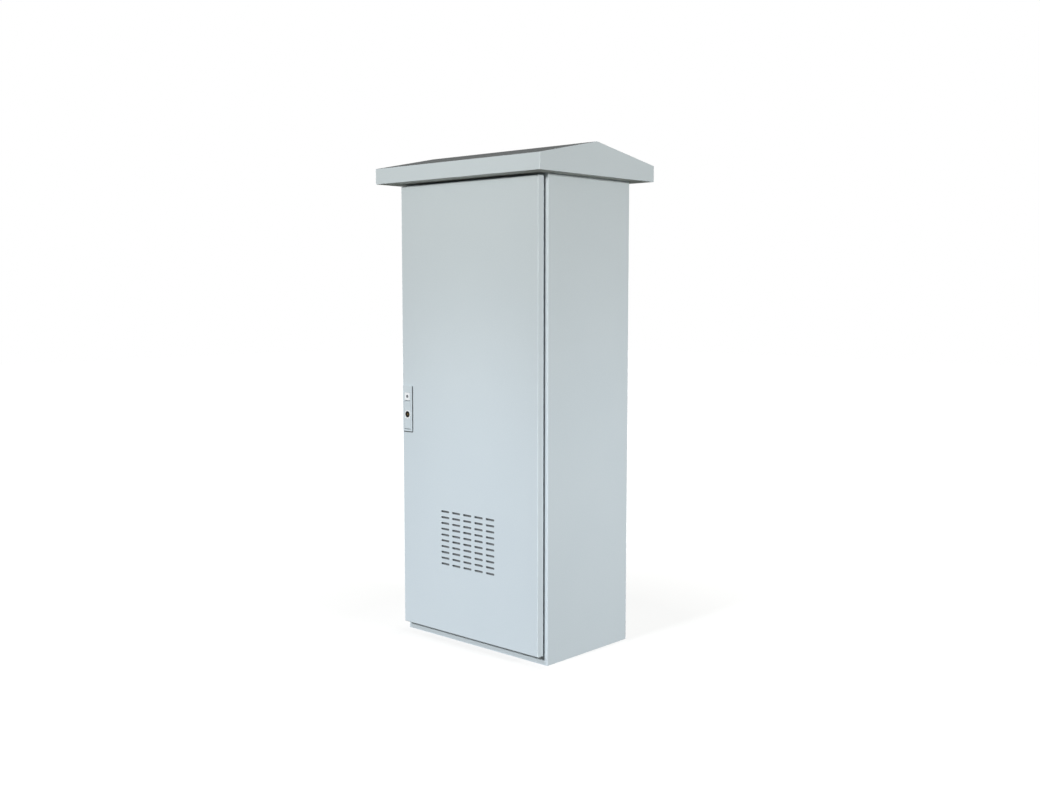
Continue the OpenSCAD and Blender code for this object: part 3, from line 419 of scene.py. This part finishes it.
def makeFibre(p):
    material, tree = newMaterial("needled polyester mat")
    place = addNode(tree, "ShaderNodeTexCoord").outputs["Object"]
    tuft = addNode(tree, "ShaderNodeTexNoise",
                   {"Vector": place, "Scale": perMm(p["tuftMm"]), "Detail": p["tuftDetail"],
                    "Distortion": p["tuftTangle"]})
    fibre = addNode(tree, "ShaderNodeTexNoise",
                    {"Vector": place, "Scale": perMm(p["fibreMm"]), "Detail": p["fibreDetail"],
                     "Distortion": p["fibreTangle"]})
    blend = addNode(tree, "ShaderNodeMix",
                    {mixBy: p["fibreShare"], valueFrom: tuft.outputs["Fac"], valueTo: fibre.outputs["Fac"]},
                    data_type="FLOAT")
    amount = addNode(tree, "ShaderNodeMapRange",
                     {"Value": blend.outputs[valueOut], "From Min": p["gapLow"], "From Max": p["gapHigh"]})
    colour = addNode(tree, "ShaderNodeMix",
                     {mixBy: amount.outputs[0], mixFrom: toLinear(p["gapTone"]), mixTo: toLinear(p["tone"])},
                     data_type="RGBA")
    bump = addNode(tree, "ShaderNodeBump",
                   {"Strength": p["strength"], "Distance": p["depth"], "Height": blend.outputs[valueOut]})
    shader = addNode(tree, "ShaderNodeBsdfPrincipled",
                     {"Base Color": colour.outputs[mixOut], "Roughness": p["rough"],
                      "Normal": bump.outputs["Normal"], "Sheen Weight": p["sheen"]})
    addNode(tree, "ShaderNodeOutputMaterial", {"Surface": shader.outputs[0]})
    return material


finishes = {
    "paint": makePowderCoat("powder-coated steel", powderCoat),
    "soffitShadeCoat": makePowderCoat("matt grey steel with painted shade", soffitShadeCoat),
    "roof": makeRoofCoat(powderCoat, paintedRoofShade),
    "sheetZinc": makeGalvanised(galvanised),
    "zinc": makeMetal("zinc-plated steel", zincPlate),
    "black_zinc": makeMetal("black zinc-plated steel", blackZinc),
    "brass": makeMetal("turned brass", turnedBrass),
    "chrome": makeMetal("bright chrome", chromeRing),
    "rubber": makeMoulded("foamed polyurethane", foamSkin),
    "button_white": makeMoulded("white moulded ABS", whiteAbs),
    "mark": makeMoulded("grey moulded ABS", greyAbs),
    "guide_black": makeMoulded("black moulded nylon", blackNylon),
    "filter": makeFibre(fibreMat),
}
# A node takes the finish of its slot, unless it is made of another sheet
# The soffit takes the matt coat whose darker grey is painted shade
ownFinish = {"roof_canopy": "roof", "roof_soffit": "soffitShadeCoat"}
for name in ("mounting_plate", "gland_plate", "door_stiffener_left", "door_stiffener_right", "filter_frame",
             "lock_case"):
    ownFinish[name] = "sheetZinc"
for row in frame["record"]["subparts"]:
    name = row["node"]
    slots = nodes[name].data.materials
    slots.clear()
    slots.append(finishes[ownFinish.get(name, row["material_slot"])])
print("finishes on", len(nodes), "nodes")


def addFace(bm, points):
    return bm.faces.new([bm.verts.new(point) for point in points])


def roundOff(bm, geom, affect, radius, steps):
    bmesh.ops.bevel(bm, geom=geom, offset=mm(radius), affect=affect, segments=steps, profile=0.5, material=-1)


def pullFaces(bm, faces, vec):
    grown = bmesh.ops.extrude_face_region(bm, geom=faces)["geom"]
    verts = [v for v in grown if isinstance(v, bmesh.types.BMVert)]
    bmesh.ops.translate(bm, verts=verts, vec=vec)
    return verts


def faceHeight(face):
    return face.calc_center_median().z


def roundLids(bm):
    return [f for f in bm.faces if len(f.verts) > 4]  # a round piece's walls are quads


def boxMiddle(name):
    low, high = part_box(name)
    return (low + high) / 2


def finishPiece(bm, name, body, finish):
    bmesh.ops.remove_doubles(bm, verts=bm.verts, dist=tiny)
    bmesh.ops.recalc_face_normals(bm, faces=bm.faces)
    mesh = bpy.data.meshes.new(name)
    bm.to_mesh(mesh)
    bm.free()
    mesh.materials.append(finishes[finish])
    piece = bpy.data.objects.new(name, mesh)
    scene.collection.objects.link(piece)
    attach(piece, body)
    return piece


# Flanged ring in the lever's key hole; its collar ends ahead of the key's head so that the lever swings clear
keyRing = {"bore": 13.5, "collar": 14.8, "flange": 18.4, "proud": 0.8, "depth": 1.2,
           "edge": 0.25, "edgeSteps": 3, "steps": 72}


def makeKeyRing(p):
    axis = boxMiddle("key_plug")
    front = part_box("lock_lever")[0].y
    face, back = front - mm(p["proud"]), front + mm(p["depth"])
    profile = [(p["bore"], face), (p["flange"], face), (p["flange"], front),
               (p["collar"], front), (p["collar"], back), (p["bore"], back)]
    bm = bmesh.new()
    rim = addFace(bm, [(axis.x + mm(r), y, axis.z) for r, y in profile])
    outer = [v for v in rim.verts if abs(v.co.y - face) < tiny]
    roundOff(bm, outer, "VERTICES", p["edge"], p["edgeSteps"])
    bmesh.ops.delete(bm, geom=bm.faces[:], context="FACES_ONLY")
    bmesh.ops.spin(bm, geom=bm.verts[:] + bm.edges[:], cent=axis, axis=(0, 1, 0), angle=2 * math.pi,
                   steps=p["steps"], use_merge=True)
    finishPiece(bm, "key_ring", "lever", "chrome")


# Round grey inlay on the push button, slightly dished for a finger
buttonMark = {"radius": 6.6, "proud": 0.35, "rim": 0.9, "dish": 0.2, "edge": 0.15, "edgeSteps": 2, "steps": 56}


def makeButtonMark(p):
    middle = boxMiddle("push_button")
    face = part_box("push_button")[0].y
    bm = bmesh.new()
    bmesh.ops.create_circle(bm, cap_ends=True, segments=p["steps"], radius=mm(p["radius"]))
    pullFaces(bm, bm.faces[:], (0, 0, mm(p["proud"])))
    roundOff(bm, max(roundLids(bm), key=faceHeight).edges[:], "EDGES", p["edge"], p["edgeSteps"])
    bmesh.ops.inset_region(bm, faces=[max(roundLids(bm), key=faceHeight)], thickness=mm(p["rim"]),
                           depth=-mm(p["dish"]), use_even_offset=True)
    bmesh.ops.rotate(bm, verts=bm.verts, cent=(0, 0, 0), matrix=Matrix.Rotation(math.pi / 2, 3, "X"))
    bmesh.ops.translate(bm, verts=bm.verts, vec=(middle.x, face, middle.z))
    finishPiece(bm, "button_mark", "button", "mark")


# Moulded seal under the lock plate: a flat gasket whose dark rounded lip shows round the plate, partly a real
# seal edge and partly a painted shadow line beside it; below the plate it reaches further down, a dark strip
# that is painted shadow under the plate
plateSeal = {"corner": 5.5, "cornerSteps": 5, "cupWall": 3.0, "shadowDrop": 2.0, "lip": 1.1, "lipSteps": 4}


def makePlateSeal(p):
    low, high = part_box("lock_seal")
    lever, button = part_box("lock_lever"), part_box("push_button")
    # The seal reaches this much lower than the plate: a dark strip that is painted shadow under the plate
    foot = low.z - mm(p["shadowDrop"])
    bm = bmesh.new()
    sheet = addFace(bm, [(x, low.y, z) for x, z in
                         ((low.x, foot), (high.x, foot), (high.x, high.z), (low.x, high.z))])
    roundOff(bm, [v for v in sheet.verts if v.co.z < low.z], "VERTICES", p["corner"], p["cornerSteps"])
    rim = bm.edges[:]
    bmesh.ops.delete(bm, geom=bm.faces[:], context="FACES_ONLY")
    wall = mm(p["cupWall"])
    left, right = lever[0].x - wall, lever[1].x + wall
    bottom, top = lever[0].z - wall, button[1].z + wall
    cup = addFace(bm, [(x, low.y, z) for x, z in ((left, bottom), (right, bottom), (right, top), (left, top))])
    hole = cup.edges[:]
    bmesh.ops.delete(bm, geom=[cup], context="FACES_ONLY")
    bmesh.ops.bridge_loops(bm, edges=rim + hole)
    pullFaces(bm, bm.faces[:], (0, high.y - low.y, 0))
    bmesh.ops.recalc_face_normals(bm, faces=bm.faces)
    outside = [e for e in bm.edges
               if abs(e.verts[0].co.y - e.verts[1].co.y) < tiny and e.calc_face_angle(0) > sharp
               and any(v.co.x < left - wall or v.co.x > right + wall for v in e.verts)]
    roundOff(bm, outside, "EDGES", p["lip"], p["lipSteps"])
    seal = finishPiece(bm, "plate_seal", "door", "rubber")
    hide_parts("lock_seal")


# Die-cut seal under the gland plate, whose edges bulge where the screws press it
glandSeal = {"width": 30.0, "corner": 4.0, "cornerSteps": 4, "bulge": 0.9, "bulgeSteps": 3}


def makeGlandSeal(p):
    low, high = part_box("gland_gasket")
    bm = bmesh.new()
    sheet = addFace(bm, [(x, y, low.z) for x, y in
                         ((low.x, low.y), (high.x, low.y), (high.x, high.y), (low.x, high.y))])
    sheet.normal_update()  # inset goes by the face's normal, which a new face doesn't have yet
    bmesh.ops.inset_region(bm, faces=[sheet], thickness=mm(p["width"]), use_boundary=True, use_even_offset=True)
    bmesh.ops.delete(bm, geom=[sheet], context="FACES_ONLY")
    pullFaces(bm, bm.faces[:], (0, 0, high.z - low.z))
    bmesh.ops.recalc_face_normals(bm, faces=bm.faces)
    upright = [e for e in bm.edges if abs(e.verts[0].co.z - e.verts[1].co.z) > tiny]
    roundOff(bm, upright, "EDGES", p["corner"], p["cornerSteps"])
    rims = [e for e in bm.edges
            if abs(e.verts[0].co.z - e.verts[1].co.z) < tiny and e.calc_face_angle(0) > sharp]
    roundOff(bm, rims, "EDGES", p["bulge"], p["bulgeSteps"])
    seal = finishPiece(bm, "gland_seal", "cabinet", "rubber")
    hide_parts("gland_gasket")


# Button-head socket screws: each stands where its CAD solid is, with its head towards "faces"
# Its rounding, its socket and the socket's depth are shares of the head's own size
socketScrew = {"steps": 24, "round": 0.55, "roundSteps": 4, "socket": 0.5, "socketDepth": 0.6}
screwSets = {
    "hinge_screws": {"body": "cabinet", "faces": (0, -1, 0), "head": 2.0, "shank": 2.5},
    "strike_screws": {"body": "cabinet", "faces": (0, -1, 0), "head": 2.0, "shank": 2.5},
    "gland_screws": {"body": "cabinet", "faces": (0, 0, 1), "head": 2.5, "shank": 2.5},
    "lock_screws": {"body": "door", "faces": (0, 1, 0), "head": 1.5, "shank": 1.5},
}


# Lowest and highest corners of each separate solid in a CAD node, from a merged copy of its mesh
def solidBoxes(name):
    bm = bmesh.new()
    bm.from_mesh(nodes[name].data)
    bmesh.ops.remove_doubles(bm, verts=bm.verts, dist=tiny)
    left, boxes = set(bm.verts), []
    for start in bm.verts:
        if start not in left:
            continue
        left.remove(start)
        found, ring = [start], [start]
        while ring:
            near = [e.other_vert(v) for v in ring for e in v.link_edges]
            ring = [v for v in dict.fromkeys(near) if v in left]
            left.difference_update(ring)
            found += ring
        boxes.append([Vector(pick(v.co[i] for v in found) for i in range(3)) for pick in (min, max)])
    bm.free()
    return boxes


def addScrew(bm, p, low, high, row):
    out, size = Vector(row["faces"]), high - low
    radius, length, head = size.x / 2, abs(size.dot(out)), mm(row["head"])
    one = bmesh.new()
    bmesh.ops.create_circle(one, cap_ends=True, segments=p["steps"], radius=radius)
    pullFaces(one, one.faces[:], (0, 0, head))
    bmesh.ops.recalc_face_normals(one, faces=one.faces)
    rim = max(roundLids(one), key=faceHeight).edges[:]
    roundOff(one, rim, "EDGES", p["round"] * row["head"], p["roundSteps"])
    top = max(roundLids(one), key=faceHeight)
    lip, flat = p["socket"] * radius, radius - p["round"] * head
    bmesh.ops.inset_region(one, faces=[top], thickness=flat - lip, use_even_offset=True)
    sixth = math.pi / 3
    for v in top.verts:  # the round lip becomes the six flats of the key's socket
        turn = math.atan2(v.co.y, v.co.x) % sixth - sixth / 2
        grow = lip * math.cos(sixth / 2) / math.cos(turn) / v.co.xy.length
        v.co.x, v.co.y = v.co.x * grow, v.co.y * grow
    well = bmesh.ops.extrude_discrete_faces(one, faces=[top])["faces"][0]
    bmesh.ops.translate(one, verts=well.verts, vec=(0, 0, -p["socketDepth"] * head))
    under = min(roundLids(one), key=faceHeight)
    bmesh.ops.inset_region(one, faces=[under], thickness=radius - mm(row["shank"]), use_even_offset=True)
    tail = bmesh.ops.extrude_discrete_faces(one, faces=[under])["faces"][0]
    bmesh.ops.translate(one, verts=tail.verts, vec=(0, 0, head - length))
    seat = Matrix.Translation((low + high) / 2 + out * (length / 2 - head))
    bmesh.ops.transform(one, matrix=seat @ out.to_track_quat("Z", "Y").to_matrix().to_4x4(), verts=one.verts)
    bmesh.ops.recalc_face_normals(one, faces=one.faces)
    mesh = bpy.data.meshes.new("screw")
    one.to_mesh(mesh)
    one.free()
    bm.from_mesh(mesh)
    bpy.data.meshes.remove(mesh)


def makeScrews(p, sets):
    for node, row in sets.items():
        bm = bmesh.new()
        for low, high in solidBoxes(node):
            addScrew(bm, p, low, high, row)
        screws = finishPiece(bm, "socket_" + node, row["body"], "zinc")
        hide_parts(node)


# Foamed-in-place seal: a rounded bead round the door's inside, where the rain lip presses
foamSeal = {"width": 14.0, "corner": 17.0, "crown": 4.5, "cornerSteps": 8, "crownSteps": 5}


def makeFoamSeal(p):
    low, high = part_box("door_gasket")
    bm = bmesh.new()
    sheet = addFace(bm, [(x, low.y, z) for x, z in
                         ((low.x, low.z), (high.x, low.z), (high.x, high.z), (low.x, high.z))])
    roundOff(bm, sheet.verts[:], "VERTICES", p["corner"], p["cornerSteps"])
    middle = bm.faces[:]
    bmesh.ops.inset_region(bm, faces=middle, thickness=mm(p["width"]), use_boundary=True, use_even_offset=True)
    bmesh.ops.delete(bm, geom=middle, context="FACES_ONLY")
    pullFaces(bm, bm.faces[:], (0, high.y - low.y, 0))
    ridges = [e for e in bm.edges if all(abs(v.co.y - high.y) < tiny for v in e.verts)
              and any(abs(f.calc_center_median().y - high.y) > tiny for f in e.link_faces)]
    roundOff(bm, ridges, "EDGES", p["crown"], p["crownSteps"])
    seal = finishPiece(bm, "foam_seal", "door", "rubber")
    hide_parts("door_gasket")
    return seal


# Needled mat in the filter frame: a soft slab with uneven faces, a little thinner than its frame
filterPad = {"columns": 68, "rows": 52, "lump": 1.1, "lumpMm": 26, "seed": 7.3}


def makeFilterPad(p):
    low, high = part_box("filter_mat")
    bm = bmesh.new()
    bmesh.ops.create_grid(bm, x_segments=p["columns"], y_segments=p["rows"], size=0.5)
    bmesh.ops.scale(bm, verts=bm.verts, vec=(high.x - low.x, high.z - low.z, 1))
    bmesh.ops.rotate(bm, verts=bm.verts, cent=(0, 0, 0), matrix=Matrix.Rotation(math.pi / 2, 3, "X"))
    bmesh.ops.translate(bm, verts=bm.verts, vec=((low.x + high.x) / 2, low.y, (low.z + high.z) / 2))
    front = bm.verts[:]
    back = pullFaces(bm, bm.faces[:], (0, high.y - low.y, 0))
    for verts, side in ((front, 1), (back, -1)):
        for v in verts:
            lump = noise.noise(v.co * perMm(p["lumpMm"]) + Vector((p["seed"], side, 0)))
            v.co.y += side * mm(p["lump"]) * (0.5 + 0.5 * lump)
    pad = finishPiece(bm, "filter_pad", "door", "filter")
    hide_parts("filter_mat")
    return pad


makeKeyRing(keyRing)
makeButtonMark(buttonMark)
makePlateSeal(plateSeal)
makeGlandSeal(glandSeal)
makeScrews(socketScrew, screwSets)
for piece in (makeFoamSeal(foamSeal), makeFilterPad(filterPad)):
    for face in piece.data.polygons:
        face.use_smooth = True
print("lock trim, seals, screws and filter pad made")
